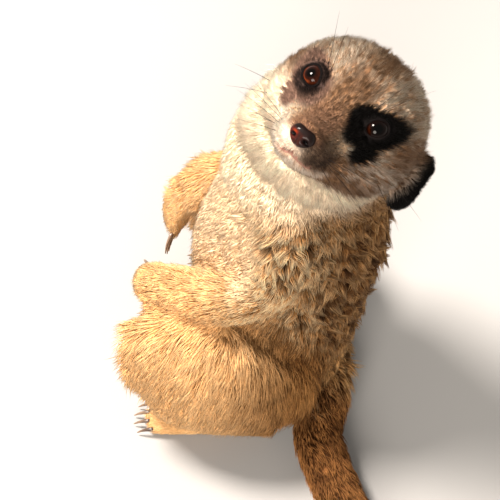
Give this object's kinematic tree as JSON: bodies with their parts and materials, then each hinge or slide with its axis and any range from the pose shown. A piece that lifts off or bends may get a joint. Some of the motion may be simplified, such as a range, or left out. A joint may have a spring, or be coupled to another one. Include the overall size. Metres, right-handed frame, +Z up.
{
  "type": "meerkat",
  "caption": "Life-size meerkat sitting upright on its haunches, forepaws hanging in front, head turned back over its left shoulder and raised.",
  "frame": {"origin": "on the floor, on the flat under the rump", "axes": "+Z up, -Y the way the body faces, +X the animal's left side"},
  "size_m": [0.2032, 0.2076, 0.2383],
  "materials": {
    "head": "short grizzled coat",
    "neck": "long pale coat",
    "chest": "grizzled clumped coat",
    "belly": "grizzled clumped coat",
    "pelvis": "long tan coat",
    "limb": "soft golden coat",
    "tail": "short tan coat",
    "tail_tip": "short black coat",
    "ear": "very short black coat",
    "eye": "wet and glossy",
    "nose": "moist bare skin",
    "claw": "smooth horn"
  },
  "bodies": {
    "root": {"head": "head", "neck": "neck", "chest": "chest", "belly": "belly", "pelvis": "pelvis", "tail_base": "tail", "tail_middle": "tail", "tail_end": "tail", "tail_tip": "tail_tip", "upper_arm_left": "limb", "forearm_left": "limb", "forepaw_left": "limb", "thigh_left": "limb", "shank_left": "limb", "hind_foot_left": "limb", "ear_left": "ear", "eye_left": "eye", "claw_front_left_1": "claw", "claw_front_left_2": "claw", "claw_front_left_3": "claw", "claw_front_left_4": "claw", "claw_hind_left_1": "claw", "claw_hind_left_2": "claw", "claw_hind_left_3": "claw", "claw_hind_left_4": "claw", "upper_arm_right": "limb", "forearm_right": "limb", "forepaw_right": "limb", "thigh_right": "limb", "shank_right": "limb", "hind_foot_right": "limb", "ear_right": "ear", "eye_right": "eye", "claw_front_right_1": "claw", "claw_front_right_2": "claw", "claw_front_right_3": "claw", "claw_front_right_4": "claw", "claw_hind_right_1": "claw", "claw_hind_right_2": "claw", "claw_hind_right_3": "claw", "claw_hind_right_4": "claw", "nose": "nose"}
  },
  "joints": []
}
